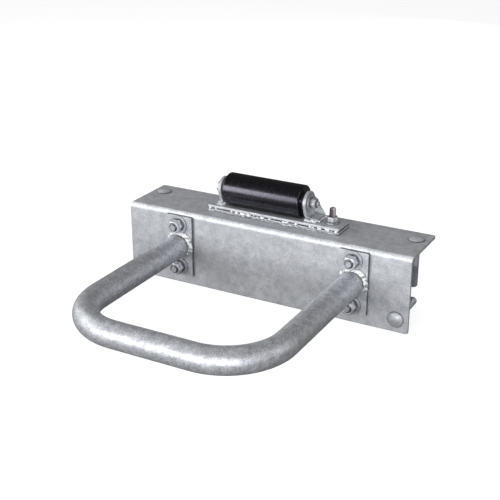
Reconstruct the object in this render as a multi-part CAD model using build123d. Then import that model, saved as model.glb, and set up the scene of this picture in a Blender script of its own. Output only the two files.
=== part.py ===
from build123d import *
import os
from math import acos, atan2, cos, radians, sin, sqrt, tan

# Roller piling hoop for a dock edge, in millimetres.
# X runs along the dock edge, Y points back over the deck, Z is up.
# The origin is the dock's own edge corner, at the middle of the angle: the deck top is z = 0 and
# the dock face is y = 0, both against the inside of the angle.

# Bent angle
ANGLE_LENGTH = 609.6
ANGLE_THICKNESS = 6.35
FRONT_LEG = 152.4
TOP_LEG = 127.0
BEND_INSIDE_RADIUS = 3.15
CORNER_RADIUS = 3.0

# Pipe hoop
PIPE_RADIUS = 24.15
PIPE_WALL = 3.68
HOOP_CLEAR_WIDTH = 330.2
HOOP_CLEAR_DEPTH = 363.5
HOOP_BEND_RADIUS = 111.0
HOOP_SIDE_SHIFT = 4.8
HOOP_DROP = 68.7

# Plates at the ends of the hoop, and the weld round the pipe
PLATE_WIDTH = 60.3
PLATE_THICKNESS = 6.35
PLATE_END_MARGIN = 18.5
HOOP_WELD_LEG = 6.5
HOOP_WELD_TOE = 0.2
WELD_TRIM_GAP = 0.6

# Bolts of the hoop plates
HOOP_BOLT_RADIUS = 7.94
HOOP_BOLT_CLEARANCE = 0.76
HOOP_BOLT_STICK_OUT = 2.2
HOOP_NUT_FLATS = 23.8
HOOP_NUT_HEIGHT = 13.5
HOOP_HEAD_HEIGHT = 9.9
FLAT_WASHER_RADIUS = 18.65
FLAT_WASHER_THICKNESS = 3.0
FLAT_WASHER_PIPE_GAP = 2.2
LOCK_WASHER_RADIUS = 13.2
LOCK_WASHER_THICKNESS = 3.9
LOCK_WASHER_SPLIT = 1.6
LOCK_WASHER_SPLIT_ANGLE = 25

# Round-head bolts into the dock
CARRIAGE_HEAD_RADIUS = 15.6
CARRIAGE_HEAD_HEIGHT = 6.4
CARRIAGE_SHANK_RADIUS = 7.94
CARRIAGE_SHANK_LENGTH = 95.0
CARRIAGE_NECK_WIDTH = 15.9
CARRIAGE_NECK_LENGTH = 8.3
CARRIAGE_NECK_CLEARANCE = 0.3
CARRIAGE_END_OFFSET = 24.8
DECK_BOLT_SETBACK = 88.9
FASCIA_BOLT_RISE = 25.4

# Roller and axle
ROLLER_RADIUS = 31.75
ROLLER_LENGTH = 165.1
ROLLER_EDGE_RADIUS = 2.0
ROLLER_BORE_RADIUS = 9.0
ROLLER_SIDE_SHIFT = -23.2
ROLLER_UNDER_GAP = 1.25
ROLLER_END_GAP = 0.3
BUSH_RADIUS = 12.0
BUSH_LENGTH = 20.0
AXLE_RADIUS = 6.35
AXLE_RUNNING_GAP = 0.05
AXLE_HOLE_CLEARANCE = 0.55
AXLE_WASHER_RADIUS = 17.5
AXLE_WASHER_THICKNESS = 2.7
AXLE_STICK_OUT = 5.0
SPACER_RADIUS = 11.0
SPACER_CLEARANCE = 0.25
SMALL_NUT_FLATS = 19.05
SMALL_NUT_HEIGHT = 11.1
SMALL_HEAD_HEIGHT = 8.2

# Ears that hold the axle
EAR_THICKNESS = 6.35
LEFT_EAR_STAND_OFF = 8.3
RIGHT_EAR_STAND_OFF = 6.4
EAR_FRONT_REACH = 11.0
FOOT_LENGTH = 23.0
FOOT_BEND_RADIUS = 7.0
GUSSET_THICKNESS = 4.3
GUSSET_RISE = 40.0
GUSSET_GAP = 0.4
EAR_WELD_RADIUS = 3.0

# Strips under the roller, and the bolt through their right end
BASE_WIDTH = 50.8
BASE_THICKNESS = 6.35
PAD_THICKNESS = 6.35
BASE_SETBACK = 63.5
BASE_LEFT_MARGIN = 21.5
BASE_RIGHT_MARGIN = 48.8
BASE_CORNER_RADIUS = 1.5
BASE_WELD_RADIUS = 2.4
BASE_WELD_END_GAP = 3.0
BASE_BOLT_END_OFFSET = 24.4
BASE_BOLT_RADIUS = 6.35
BASE_BOLT_CLEARANCE = 0.75
BASE_BOLT_STICK_OUT = 17.5
BASE_WASHER_RADIUS = 13.5
BASE_WASHER_THICKNESS = 2.4

# Form of every bolt and nut
HEX_FACE_SHARE = 0.95
HEX_CORNER_ANGLE = 30
SHANK_END_CHAMFER = 1.6

# Places of the hoop, worked out from the sizes above
TOP_FACE = ANGLE_THICKNESS
FRONT_FACE = -ANGLE_THICKNESS
PLATE_FACE = FRONT_FACE - PLATE_THICKNESS
HOOP_Z = TOP_FACE - HOOP_DROP
HOOP_HALF_WIDTH = HOOP_CLEAR_WIDTH / 2 + PIPE_RADIUS
HOOP_FRONT_Y = FRONT_FACE - HOOP_CLEAR_DEPTH - PIPE_RADIUS
LEFT_HOOP_X = HOOP_SIDE_SHIFT - HOOP_HALF_WIDTH
RIGHT_HOOP_X = HOOP_SIDE_SHIFT + HOOP_HALF_WIDTH
HOOP_BOLT_HOLE_RADIUS = HOOP_BOLT_RADIUS + HOOP_BOLT_CLEARANCE
HOOP_BOLT_OFFSET = PIPE_RADIUS + FLAT_WASHER_PIPE_GAP + FLAT_WASHER_RADIUS
HOOP_BOLT_HEIGHTS = (HOOP_Z - HOOP_BOLT_OFFSET, HOOP_Z + HOOP_BOLT_OFFSET)
HOOP_BOLT_PLACES = [(x, z) for x in (LEFT_HOOP_X, RIGHT_HOOP_X) for z in HOOP_BOLT_HEIGHTS]
PLATE_HEIGHT = 2 * (HOOP_BOLT_OFFSET + PLATE_END_MARGIN)
FLAT_WASHER_FACE = PLATE_FACE - FLAT_WASHER_THICKNESS
LOCK_WASHER_FACE = FLAT_WASHER_FACE - LOCK_WASHER_THICKNESS
HOOP_NUT_FACE = LOCK_WASHER_FACE - HOOP_NUT_HEIGHT

# Places of the round-head bolts
CARRIAGE_X = ANGLE_LENGTH / 2 - CARRIAGE_END_OFFSET
CARRIAGE_HOLE_WIDTH = CARRIAGE_NECK_WIDTH + 2 * CARRIAGE_NECK_CLEARANCE
DECK_BOLT_Y = FRONT_FACE + DECK_BOLT_SETBACK
FASCIA_BOLT_Z = TOP_FACE - FRONT_LEG + FASCIA_BOLT_RISE

# Places of the roller and its ears
BASE_Y = FRONT_FACE + BASE_SETBACK
PAD_TOP = TOP_FACE + PAD_THICKNESS
BASE_TOP = PAD_TOP + BASE_THICKNESS
AXLE_RISE = ROLLER_UNDER_GAP + ROLLER_RADIUS
AXLE_Z = BASE_TOP + AXLE_RISE
ROLLER_LEFT = ROLLER_SIDE_SHIFT - ROLLER_LENGTH / 2
ROLLER_RIGHT = ROLLER_SIDE_SHIFT + ROLLER_LENGTH / 2
BUSH_STARTS = (ROLLER_LEFT, ROLLER_RIGHT - BUSH_LENGTH)
EAR_RADIUS = AXLE_WASHER_RADIUS + GUSSET_GAP + GUSSET_THICKNESS
EAR_HOLE_RADIUS = AXLE_RADIUS + AXLE_HOLE_CLEARANCE
LEFT_EAR_INNER = ROLLER_LEFT - LEFT_EAR_STAND_OFF
LEFT_EAR_OUTER = LEFT_EAR_INNER - EAR_THICKNESS
RIGHT_EAR_INNER = ROLLER_RIGHT + RIGHT_EAR_STAND_OFF
RIGHT_EAR_OUTER = RIGHT_EAR_INNER + EAR_THICKNESS
FOOT_END = RIGHT_EAR_OUTER + FOOT_LENGTH
FOOT_TOP = BASE_TOP + EAR_THICKNESS
EAR_FRONT = BASE_Y - EAR_FRONT_REACH
EAR_BACK = BASE_Y + EAR_RADIUS
EAR_WIDTH_AT_FOOT = EAR_BACK - EAR_FRONT
AXLE_HEAD_FACE = LEFT_EAR_OUTER - AXLE_WASHER_THICKNESS
AXLE_NUT_FACE = RIGHT_EAR_OUTER + AXLE_WASHER_THICKNESS

# Places of the strips and their bolt
BASE_LEFT = LEFT_EAR_OUTER - BASE_LEFT_MARGIN
BASE_RIGHT = FOOT_END + BASE_RIGHT_MARGIN
BASE_LENGTH = BASE_RIGHT - BASE_LEFT
BASE_X = (BASE_LEFT + BASE_RIGHT) / 2
BASE_BOLT_X = BASE_RIGHT - BASE_BOLT_END_OFFSET
BASE_BOLT_HOLE_RADIUS = BASE_BOLT_RADIUS + BASE_BOLT_CLEARANCE
BASE_NUT_SEAT = BASE_TOP + BASE_WASHER_THICKNESS

# Planes whose normal points the way a bolt's threaded end points
TOWARDS_FRONT = Plane(origin=(0, 0, 0), x_dir=(1, 0, 0), z_dir=(0, -1, 0))
TOWARDS_BACK = Plane(origin=(0, 0, 0), x_dir=(-1, 0, 0), z_dir=(0, 1, 0))
TOWARDS_RIGHT = Plane(origin=(0, 0, 0), x_dir=(0, 1, 0), z_dir=(1, 0, 0))
DOWNWARDS = Plane(origin=(0, 0, 0), x_dir=(1, 0, 0), z_dir=(0, 0, -1))
UPWARDS = Plane.XY

BASED = (Align.CENTER, Align.CENTER, Align.MIN)
STANDING_LEFT = (Align.MIN, Align.CENTER, Align.MIN)


def moved(plane, place):
    """The same plane with its origin at place."""
    return Plane(origin=place, x_dir=plane.x_dir, z_dir=plane.z_dir)


def rod(plane, place, radius, length):
    """A round bar that starts at place and runs along the plane's normal."""
    return moved(plane, place) * Cylinder(radius, length, align=BASED)


def ring(plane, place, outer, inner, length):
    """A washer, spacer or bush: a rod with a round hole through it."""
    return rod(plane, place, outer, length) - rod(plane, place, inner, length)


def hexagon(plane, place, flats, height):
    """A hexagon block with the outer corners of its far end turned off."""
    corner = flats / sqrt(3)
    face = HEX_FACE_SHARE * flats / 2
    turned_height = (corner - face) * tan(radians(HEX_CORNER_ANGLE))
    straight = height - turned_height
    turned = Cylinder(corner, straight, align=BASED)
    turned += Pos(0, 0, straight) * Cone(corner, face, turned_height, align=BASED)
    return moved(plane, place) * (extrude(RegularPolygon(corner, 6), height) & turned)


def shank(radius, length):
    """A bolt's round shank with a chamfered end."""
    bar = Cylinder(radius, length, align=BASED)
    return chamfer(bar.edges().group_by(Axis.Z)[-1], SHANK_END_CHAMFER)


def hex_bolt(plane, place, radius, flats, head_height, length):
    """A hexagon bolt whose head sits behind place and whose shank runs along the plane's normal."""
    behind = Plane(origin=place, x_dir=plane.x_dir, z_dir=-plane.z_dir)
    return hexagon(behind, place, flats, head_height) + moved(plane, place) * shank(radius, length)


def hex_nut(plane, place, flats, height, bore):
    """A hexagon nut that stands on place, bored to its bolt."""
    return hexagon(plane, place, flats, height) - rod(plane, place, bore, height)


def split_washer(plane, place, outer, inner, length):
    """A lock washer with a slanted cut through one side."""
    cut = Box(LOCK_WASHER_SPLIT, outer, 2 * length, align=(Align.CENTER, Align.MIN, Align.CENTER))
    cut = Pos(0, 0, length / 2) * cut.rotate(Axis.Y, LOCK_WASHER_SPLIT_ANGLE)
    return ring(plane, place, outer, inner, length) - moved(plane, place) * cut


def carriage_bolt(plane, place):
    """A round-head bolt: dome, square neck and round shank, with the dome's rim on place."""
    dome_radius = (CARRIAGE_HEAD_RADIUS**2 + CARRIAGE_HEAD_HEIGHT**2) / (2 * CARRIAGE_HEAD_HEIGHT)
    ball = Pos(0, 0, dome_radius - CARRIAGE_HEAD_HEIGHT) * Sphere(dome_radius)
    dome = split(ball, Plane.XY, keep=Keep.BOTTOM)
    neck = Box(CARRIAGE_NECK_WIDTH, CARRIAGE_NECK_WIDTH, CARRIAGE_NECK_LENGTH, align=BASED)
    return moved(plane, place) * (dome + neck + shank(CARRIAGE_SHANK_RADIUS, CARRIAGE_SHANK_LENGTH))


def angle_profile():
    """The bent L seen from the end, with its inner and outer bend."""
    back = FRONT_FACE + TOP_LEG
    bottom = TOP_FACE - FRONT_LEG
    points = [(0, bottom), (FRONT_FACE, bottom), (FRONT_FACE, TOP_FACE), (back, TOP_FACE), (back, 0), (0, 0)]
    face = make_face(Plane.YZ * Polyline(*points, close=True))
    inner = face.vertices().sort_by_distance((0, 0, 0))[0]
    face = fillet(inner, BEND_INSIDE_RADIUS)
    outer = face.vertices().sort_by_distance((0, FRONT_FACE, TOP_FACE))[0]
    return fillet(outer, BEND_INSIDE_RADIUS + ANGLE_THICKNESS)


def dock_angle():
    """The angle with rounded free corners, round holes for the hoop and square ones for the dock bolts."""
    body = extrude(angle_profile(), ANGLE_LENGTH / 2, both=True, dir=(1, 0, 0))
    lower_corners = body.edges().filter_by(Axis.Y).group_by(Axis.Z)[0]
    back_corners = body.edges().filter_by(Axis.Z).group_by(Axis.Y)[-1]
    body = fillet(lower_corners + back_corners, CORNER_RADIUS)
    for x, z in HOOP_BOLT_PLACES:
        body -= rod(TOWARDS_FRONT, (x, 0, z), HOOP_BOLT_HOLE_RADIUS, ANGLE_THICKNESS)
    for x in (-CARRIAGE_X, CARRIAGE_X):
        body -= moved(DOWNWARDS, (x, DECK_BOLT_Y, TOP_FACE)) * square_hole()
        body -= moved(TOWARDS_BACK, (x, FRONT_FACE, FASCIA_BOLT_Z)) * square_hole()
    return body - rod(UPWARDS, (BASE_BOLT_X, BASE_Y, 0), BASE_BOLT_HOLE_RADIUS, ANGLE_THICKNESS)


def square_hole():
    return Box(CARRIAGE_HOLE_WIDTH, CARRIAGE_HOLE_WIDTH, ANGLE_THICKNESS, align=BASED)


def hoop_pipe():
    """Two legs, two bends and the front run, swept as a hollow tube."""
    corners = [(LEFT_HOOP_X, PLATE_FACE), (LEFT_HOOP_X, HOOP_FRONT_Y), (RIGHT_HOOP_X, HOOP_FRONT_Y),
               (RIGHT_HOOP_X, PLATE_FACE)]
    path = FilletPolyline(*[(x, y, HOOP_Z) for x, y in corners], radius=HOOP_BEND_RADIUS)
    start = moved(TOWARDS_FRONT, (LEFT_HOOP_X, PLATE_FACE, HOOP_Z))
    return sweep(start * (Circle(PIPE_RADIUS) - Circle(PIPE_RADIUS - PIPE_WALL)), path=path)


def hoop_plate(x):
    """A flat plate with a round hole above and below the pipe."""
    plate = Box(PLATE_WIDTH, PLATE_THICKNESS, PLATE_HEIGHT)
    plate = fillet(plate.edges().filter_by(Axis.Y), CORNER_RADIUS)
    plate = Pos(x, (FRONT_FACE + PLATE_FACE) / 2, HOOP_Z) * plate
    for z in HOOP_BOLT_HEIGHTS:
        plate -= rod(TOWARDS_FRONT, (x, FRONT_FACE, z), HOOP_BOLT_HOLE_RADIUS, PLATE_THICKNESS)
    return plate


def hoop_weld(x):
    """A fillet of weld round the pipe, kept on the plate and clear of the washers."""
    bead = Cone(PIPE_RADIUS + HOOP_WELD_LEG, PIPE_RADIUS + HOOP_WELD_TOE, HOOP_WELD_LEG, align=BASED)
    bead -= Cylinder(PIPE_RADIUS, HOOP_WELD_LEG, align=BASED)
    bead &= Box(PLATE_WIDTH, PLATE_HEIGHT, HOOP_WELD_LEG, align=BASED)
    bead = moved(TOWARDS_FRONT, (x, PLATE_FACE, HOOP_Z)) * bead
    for z in HOOP_BOLT_HEIGHTS:
        bead -= rod(TOWARDS_FRONT, (x, PLATE_FACE, z), FLAT_WASHER_RADIUS + WELD_TRIM_GAP, HOOP_WELD_LEG)
    return bead


def hoop_bolts():
    return [hex_bolt(TOWARDS_FRONT, (x, 0, z), HOOP_BOLT_RADIUS, HOOP_NUT_FLATS, HOOP_HEAD_HEIGHT,
                     HOOP_BOLT_STICK_OUT - HOOP_NUT_FACE) for x, z in HOOP_BOLT_PLACES]


def hoop_nuts():
    return [hex_nut(TOWARDS_FRONT, (x, LOCK_WASHER_FACE, z), HOOP_NUT_FLATS, HOOP_NUT_HEIGHT,
                    HOOP_BOLT_RADIUS) for x, z in HOOP_BOLT_PLACES]


def hoop_lock_washers():
    return [split_washer(TOWARDS_FRONT, (x, FLAT_WASHER_FACE, z), LOCK_WASHER_RADIUS, HOOP_BOLT_RADIUS,
                         LOCK_WASHER_THICKNESS) for x, z in HOOP_BOLT_PLACES]


def hoop_flat_washers():
    return [ring(TOWARDS_FRONT, (x, PLATE_FACE, z), FLAT_WASHER_RADIUS, HOOP_BOLT_HOLE_RADIUS,
                 FLAT_WASHER_THICKNESS) for x, z in HOOP_BOLT_PLACES]


def deck_carriage_bolts():
    return [carriage_bolt(DOWNWARDS, (x, DECK_BOLT_Y, TOP_FACE)) for x in (-CARRIAGE_X, CARRIAGE_X)]


def fascia_carriage_bolts():
    return [carriage_bolt(TOWARDS_BACK, (x, FRONT_FACE, FASCIA_BOLT_Z)) for x in (-CARRIAGE_X, CARRIAGE_X)]


def base_strip(bottom, thickness):
    """One of the two flat strips under the roller."""
    strip = Box(BASE_LENGTH, BASE_WIDTH, thickness, align=BASED)
    strip = fillet(strip.edges().filter_by(Axis.Z), BASE_CORNER_RADIUS)
    strip = Pos(BASE_X, BASE_Y, bottom) * strip
    return strip - rod(UPWARDS, (BASE_BOLT_X, BASE_Y, bottom), BASE_BOLT_HOLE_RADIUS, thickness)


def quarter_bead(length, radius):
    """A quarter-round weld bead along X, with its corner on the X axis and its bulge to -Y and +Z."""
    corner = Box(length, radius, radius, align=(Align.CENTER, Align.MAX, Align.MIN))
    return Rot(0, 90, 0) * Cylinder(radius, length) & corner


def base_plate_weld():
    """Beads along the front and back of the lower strip, on the angle."""
    bead = quarter_bead(BASE_LENGTH - 2 * BASE_WELD_END_GAP, BASE_WELD_RADIUS)
    front = Pos(BASE_X, BASE_Y - BASE_WIDTH / 2, TOP_FACE) * bead
    back = Pos(BASE_X, BASE_Y + BASE_WIDTH / 2, TOP_FACE) * Rot(0, 0, 180) * bead
    return [front, back]


def ear_blank(start, length):
    """The outline of an ear, round on top, upright behind and slanted in front, carried along X."""
    reach, drop = EAR_FRONT_REACH, AXLE_RISE
    turn = atan2(drop, reach) - acos(EAR_RADIUS / sqrt(reach**2 + drop**2))
    touch = (BASE_Y - EAR_RADIUS * cos(turn), AXLE_Z - EAR_RADIUS * sin(turn))
    points = [touch, (EAR_FRONT, BASE_TOP), (EAR_BACK, BASE_TOP), (EAR_BACK, AXLE_Z), (BASE_Y, AXLE_Z)]
    outline = make_face(Polyline(*points, close=True)) + Pos(BASE_Y, AXLE_Z) * Circle(EAR_RADIUS)
    blank = extrude(Pos(start, 0, 0) * (Plane.YZ * outline), length, dir=(1, 0, 0))
    return blank - rod(TOWARDS_RIGHT, (start, BASE_Y, AXLE_Z), EAR_HOLE_RADIUS, length)


def bent_bar():
    """The upright and the foot of the right ear, seen from the front as one bent bar."""
    inner_radius = min(FOOT_BEND_RADIUS, AXLE_RISE - EAR_THICKNESS - AXLE_WASHER_RADIUS - GUSSET_GAP)
    top = AXLE_Z + EAR_RADIUS
    points = [(RIGHT_EAR_INNER, BASE_TOP), (FOOT_END, BASE_TOP), (FOOT_END, FOOT_TOP),
              (RIGHT_EAR_OUTER, FOOT_TOP), (RIGHT_EAR_OUTER, top), (RIGHT_EAR_INNER, top)]
    face = make_face(Plane.XZ * Polyline(*points, close=True))
    inner = face.vertices().sort_by_distance((RIGHT_EAR_OUTER, 0, FOOT_TOP))[0]
    face = fillet(inner, inner_radius)
    outer = face.vertices().sort_by_distance((RIGHT_EAR_INNER, 0, BASE_TOP))[0]
    return fillet(outer, inner_radius + EAR_THICKNESS)


def right_roller_ear():
    """The right ear, bent outwards into a foot, with a gusset along its back edge."""
    bar = extrude(Pos(0, BASE_Y - EAR_RADIUS, 0) * bent_bar(), 2 * EAR_RADIUS, dir=(0, 1, 0))
    outline = [(RIGHT_EAR_OUTER, FOOT_TOP), (FOOT_END, FOOT_TOP), (RIGHT_EAR_OUTER, BASE_TOP + GUSSET_RISE)]
    face = make_face(Plane.XZ * Polyline(*outline, close=True))
    gusset = Pos(0, EAR_BACK, 0) * extrude(face, GUSSET_THICKNESS, dir=(0, -1, 0))
    return (bar & ear_blank(RIGHT_EAR_INNER, FOOT_END - RIGHT_EAR_INNER)) + gusset


def left_ear_weld():
    """A bead on the outer side of the left ear."""
    bead = Rot(0, 0, -90) * quarter_bead(EAR_WIDTH_AT_FOOT, EAR_WELD_RADIUS)
    return Pos(LEFT_EAR_OUTER, (EAR_FRONT + EAR_BACK) / 2, BASE_TOP) * bead


def right_ear_weld():
    """A bead along the end of the right foot."""
    bead = Rot(0, 0, 90) * quarter_bead(EAR_WIDTH_AT_FOOT, EAR_WELD_RADIUS)
    return Pos(FOOT_END, (EAR_FRONT + EAR_BACK) / 2, BASE_TOP) * bead


def roller():
    """A plain cylinder with rounded rims, bored through, with a pocket for a bush in each end."""
    body = rod(TOWARDS_RIGHT, (ROLLER_LEFT, BASE_Y, AXLE_Z), ROLLER_RADIUS, ROLLER_LENGTH)
    body = fillet(body.edges().filter_by(GeomType.CIRCLE), ROLLER_EDGE_RADIUS)
    body -= rod(TOWARDS_RIGHT, (ROLLER_LEFT, BASE_Y, AXLE_Z), ROLLER_BORE_RADIUS, ROLLER_LENGTH)
    for x in BUSH_STARTS:
        body -= rod(TOWARDS_RIGHT, (x, BASE_Y, AXLE_Z), BUSH_RADIUS, BUSH_LENGTH)
    return body


def roller_bushes():
    bore = AXLE_RADIUS + AXLE_RUNNING_GAP
    return [ring(TOWARDS_RIGHT, (x, BASE_Y, AXLE_Z), BUSH_RADIUS, bore, BUSH_LENGTH) for x in BUSH_STARTS]


def axle_bolt():
    length = AXLE_NUT_FACE + SMALL_NUT_HEIGHT + AXLE_STICK_OUT - AXLE_HEAD_FACE
    return hex_bolt(TOWARDS_RIGHT, (AXLE_HEAD_FACE, BASE_Y, AXLE_Z), AXLE_RADIUS, SMALL_NUT_FLATS,
                    SMALL_HEAD_HEIGHT, length)


def axle_nut():
    return hex_nut(TOWARDS_RIGHT, (AXLE_NUT_FACE, BASE_Y, AXLE_Z), SMALL_NUT_FLATS, SMALL_NUT_HEIGHT,
                   AXLE_RADIUS)


def axle_washer(x):
    return ring(TOWARDS_RIGHT, (x, BASE_Y, AXLE_Z), AXLE_WASHER_RADIUS, EAR_HOLE_RADIUS,
                AXLE_WASHER_THICKNESS)


def spacer(start, stop):
    """A sleeve on the axle that keeps the roller away from an ear."""
    bore = AXLE_RADIUS + SPACER_CLEARANCE
    return ring(TOWARDS_RIGHT, (start, BASE_Y, AXLE_Z), SPACER_RADIUS, bore, stop - start)


def base_bolt():
    length = BASE_NUT_SEAT + SMALL_NUT_HEIGHT + BASE_BOLT_STICK_OUT
    return hex_bolt(UPWARDS, (BASE_BOLT_X, BASE_Y, 0), BASE_BOLT_RADIUS, SMALL_NUT_FLATS,
                    SMALL_HEAD_HEIGHT, length)


def base_nut():
    return hex_nut(UPWARDS, (BASE_BOLT_X, BASE_Y, BASE_NUT_SEAT), SMALL_NUT_FLATS, SMALL_NUT_HEIGHT,
                   BASE_BOLT_RADIUS)


def base_washer():
    return ring(UPWARDS, (BASE_BOLT_X, BASE_Y, BASE_TOP), BASE_WASHER_RADIUS, BASE_BOLT_HOLE_RADIUS,
                BASE_WASHER_THICKNESS)


def write(name, shape):
    """Write one node: a single solid, or a list of separate like solids."""
    if isinstance(shape, list):
        shape = Compound(children=[solid for piece in shape for solid in piece.solids()])
    export_step(shape, f"parts/{name}.step")


def main():
    os.makedirs("parts", exist_ok=True)
    write("dock_angle", dock_angle())
    write("hoop_pipe", hoop_pipe())
    write("left_hoop_plate", hoop_plate(LEFT_HOOP_X))
    write("right_hoop_plate", hoop_plate(RIGHT_HOOP_X))
    write("left_hoop_weld", hoop_weld(LEFT_HOOP_X))
    write("right_hoop_weld", hoop_weld(RIGHT_HOOP_X))
    write("hoop_bolts", hoop_bolts())
    write("hoop_nuts", hoop_nuts())
    write("hoop_lock_washers", hoop_lock_washers())
    write("hoop_flat_washers", hoop_flat_washers())
    write("deck_carriage_bolts", deck_carriage_bolts())
    write("fascia_carriage_bolts", fascia_carriage_bolts())
    write("roller_pad_plate", base_strip(TOP_FACE, PAD_THICKNESS))
    write("roller_base_plate", base_strip(PAD_TOP, BASE_THICKNESS))
    write("base_plate_weld", base_plate_weld())
    write("left_roller_ear", ear_blank(LEFT_EAR_OUTER, EAR_THICKNESS))
    write("right_roller_ear", right_roller_ear())
    write("left_ear_weld", left_ear_weld())
    write("right_ear_weld", right_ear_weld())
    write("axle_bolt", axle_bolt())
    write("axle_nut", axle_nut())
    write("left_axle_washer", axle_washer(AXLE_HEAD_FACE))
    write("right_axle_washer", axle_washer(RIGHT_EAR_OUTER))
    write("left_roller_spacer", spacer(LEFT_EAR_INNER, ROLLER_LEFT - ROLLER_END_GAP))
    write("right_roller_spacer", spacer(ROLLER_RIGHT + ROLLER_END_GAP, RIGHT_EAR_INNER))
    write("roller", roller())
    write("roller_bushes", roller_bushes())
    write("base_bolt", base_bolt())
    write("base_nut", base_nut())
    write("base_washer", base_washer())


main()
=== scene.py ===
import bpy
import bmesh
import math
from mathutils import Matrix, Vector, noise


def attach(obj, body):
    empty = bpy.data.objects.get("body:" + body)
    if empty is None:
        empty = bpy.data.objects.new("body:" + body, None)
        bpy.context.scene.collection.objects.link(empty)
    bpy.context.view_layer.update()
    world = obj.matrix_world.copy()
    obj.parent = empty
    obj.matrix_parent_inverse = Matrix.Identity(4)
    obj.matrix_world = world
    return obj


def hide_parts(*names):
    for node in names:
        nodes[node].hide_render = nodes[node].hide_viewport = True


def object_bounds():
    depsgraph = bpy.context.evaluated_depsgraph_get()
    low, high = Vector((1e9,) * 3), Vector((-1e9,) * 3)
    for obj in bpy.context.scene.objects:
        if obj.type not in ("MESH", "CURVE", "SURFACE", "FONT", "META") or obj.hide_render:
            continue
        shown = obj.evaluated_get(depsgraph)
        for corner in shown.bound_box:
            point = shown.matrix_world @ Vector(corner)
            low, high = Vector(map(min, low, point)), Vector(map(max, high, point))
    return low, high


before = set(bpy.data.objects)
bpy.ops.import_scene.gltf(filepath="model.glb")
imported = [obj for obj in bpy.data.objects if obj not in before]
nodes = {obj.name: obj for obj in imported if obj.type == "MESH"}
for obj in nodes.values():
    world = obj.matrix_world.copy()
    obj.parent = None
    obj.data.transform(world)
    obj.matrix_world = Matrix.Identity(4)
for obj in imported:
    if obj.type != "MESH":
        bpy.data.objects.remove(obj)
cad_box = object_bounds()

# View
# The part is seen from above and from the front right, so that its front leg, its top leg and its right end
# all show. The aim and the distance come from the lengths of the angle's edges in the photograph. All lengths
# are in metres, and those whose names end in mm in millimetres.
VIEW_AZIMUTH = math.radians(28.66)
VIEW_ELEVATION = math.radians(22.84)
VIEW_DISTANCE = 1.9548
VIEW_AIM = Vector((-0.02509, -0.00635, -0.04323))
VIEW_LENS = 72.30
VIEW_SENSOR = 36
VIEW_REACH = 50


def put(name, data):
    """A new object of the data, linked into the scene."""
    thing = bpy.data.objects.new(name, data)
    bpy.context.scene.collection.objects.link(thing)
    return thing


towards_camera = Vector((math.sin(VIEW_AZIMUTH) * math.cos(VIEW_ELEVATION),
                         -math.cos(VIEW_AZIMUTH) * math.cos(VIEW_ELEVATION), math.sin(VIEW_ELEVATION)))
camera = put("camera", bpy.data.cameras.new("camera"))
camera.data.lens = VIEW_LENS
camera.data.sensor_width = VIEW_SENSOR
camera.data.clip_end = VIEW_REACH
camera.location = VIEW_AIM + towards_camera * VIEW_DISTANCE
camera.rotation_euler = (-towards_camera).to_track_quat("-Z", "Y").to_euler()
bpy.context.scene.camera = camera
bpy.context.scene.view_settings.view_transform = "Standard"

# Floor and light
# A pale floor runs just under the lowest edge. A broad lamp low at the front left draws the long streak on the
# hoop, a wide one lights the front leg and weaker ones stand at both sides. Lamps above and behind lift the
# shadows and stay out of gloss. Floor and world look white to the camera and dark grey in metal.
FLOOR_DROP = 0.0005
FLOOR_SIZE = 30.0
FLOOR_ROUGH = 0.9
FLOOR_TO_PART = "#4C4C4C"
FLOOR_TO_CAMERA = "#9C9C9C"
FLOOR_GLOW = 0.80
FLOOR_GLOW_IN_METAL = 0.06
WORLD_GREY = 0.30
WORLD_GREY_IN_METAL = 0.10
WHITE = "#FFFFFF"


def colour(text):
    """An sRGB hex colour as the linear colour that the shader takes."""
    parts = [int(text[i:i + 2], 16) / 255 for i in (1, 3, 5)]
    return (*(c / 12.92 if c <= 0.04045 else ((c + 0.055) / 1.055) ** 2.4 for c in parts), 1)


def add(tree, kind, settings=None, stops=(), **inputs):
    """Add a node with its own settings, a ramp's stops as (place, hex colour), and values or links by input.

    An input goes by its name, with _ for a space, or by _ and its number where the name isn't its own.
    """
    node = tree.nodes.new(kind)
    for name, value in (settings or {}).items():
        setattr(node, name, value)
    for i, (place, text) in enumerate(stops):
        node.color_ramp.elements[i].position = place
        node.color_ramp.elements[i].color = colour(text)
    for name, value in inputs.items():
        socket = node.inputs[int(name[1:])] if name[0] == "_" else node.inputs[name.replace("_", " ")]
        if isinstance(value, bpy.types.NodeSocket):
            tree.links.new(value, socket)
        else:
            socket.default_value = value
    return node


def blank(name):
    """A new material, its tree and its Principled shader."""
    material = bpy.data.materials.new(name)
    material.use_nodes = True
    return material, material.node_tree, material.node_tree.nodes["Principled BSDF"]


def lamp(name, direction, distance, high, power, wide=1.0, in_gloss=True):
    """A soft lamp that faces the part from direction, wide times as wide as it is high."""
    direction = Vector(direction)
    light = bpy.data.lights.new(name, "AREA")
    light.shape = "RECTANGLE"
    light.size = high * wide
    light.size_y = high
    light.energy = power
    holder = put(name, light)
    holder.location = VIEW_AIM + direction.normalized() * distance
    holder.rotation_euler = (-direction).to_track_quat("-Z", "Y").to_euler()
    holder.visible_glossy = in_gloss


world = bpy.data.worlds.new("studio")
world.use_nodes = True
sky = world.node_tree.nodes["Background"]
sky.inputs["Color"].default_value = colour(WHITE)
rays = add(world.node_tree, "ShaderNodeLightPath").outputs
bright = add(world.node_tree, "ShaderNodeMath", {"operation": "MULTIPLY_ADD"}, _0=rays["Is Glossy Ray"],
             _1=WORLD_GREY_IN_METAL - WORLD_GREY, _2=WORLD_GREY)
bright = add(world.node_tree, "ShaderNodeMath", {"operation": "MAXIMUM"}, _0=rays["Is Camera Ray"],
             _1=bright.outputs["Value"])
world.node_tree.links.new(bright.outputs["Value"], sky.inputs["Strength"])
bpy.context.scene.world = world

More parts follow.
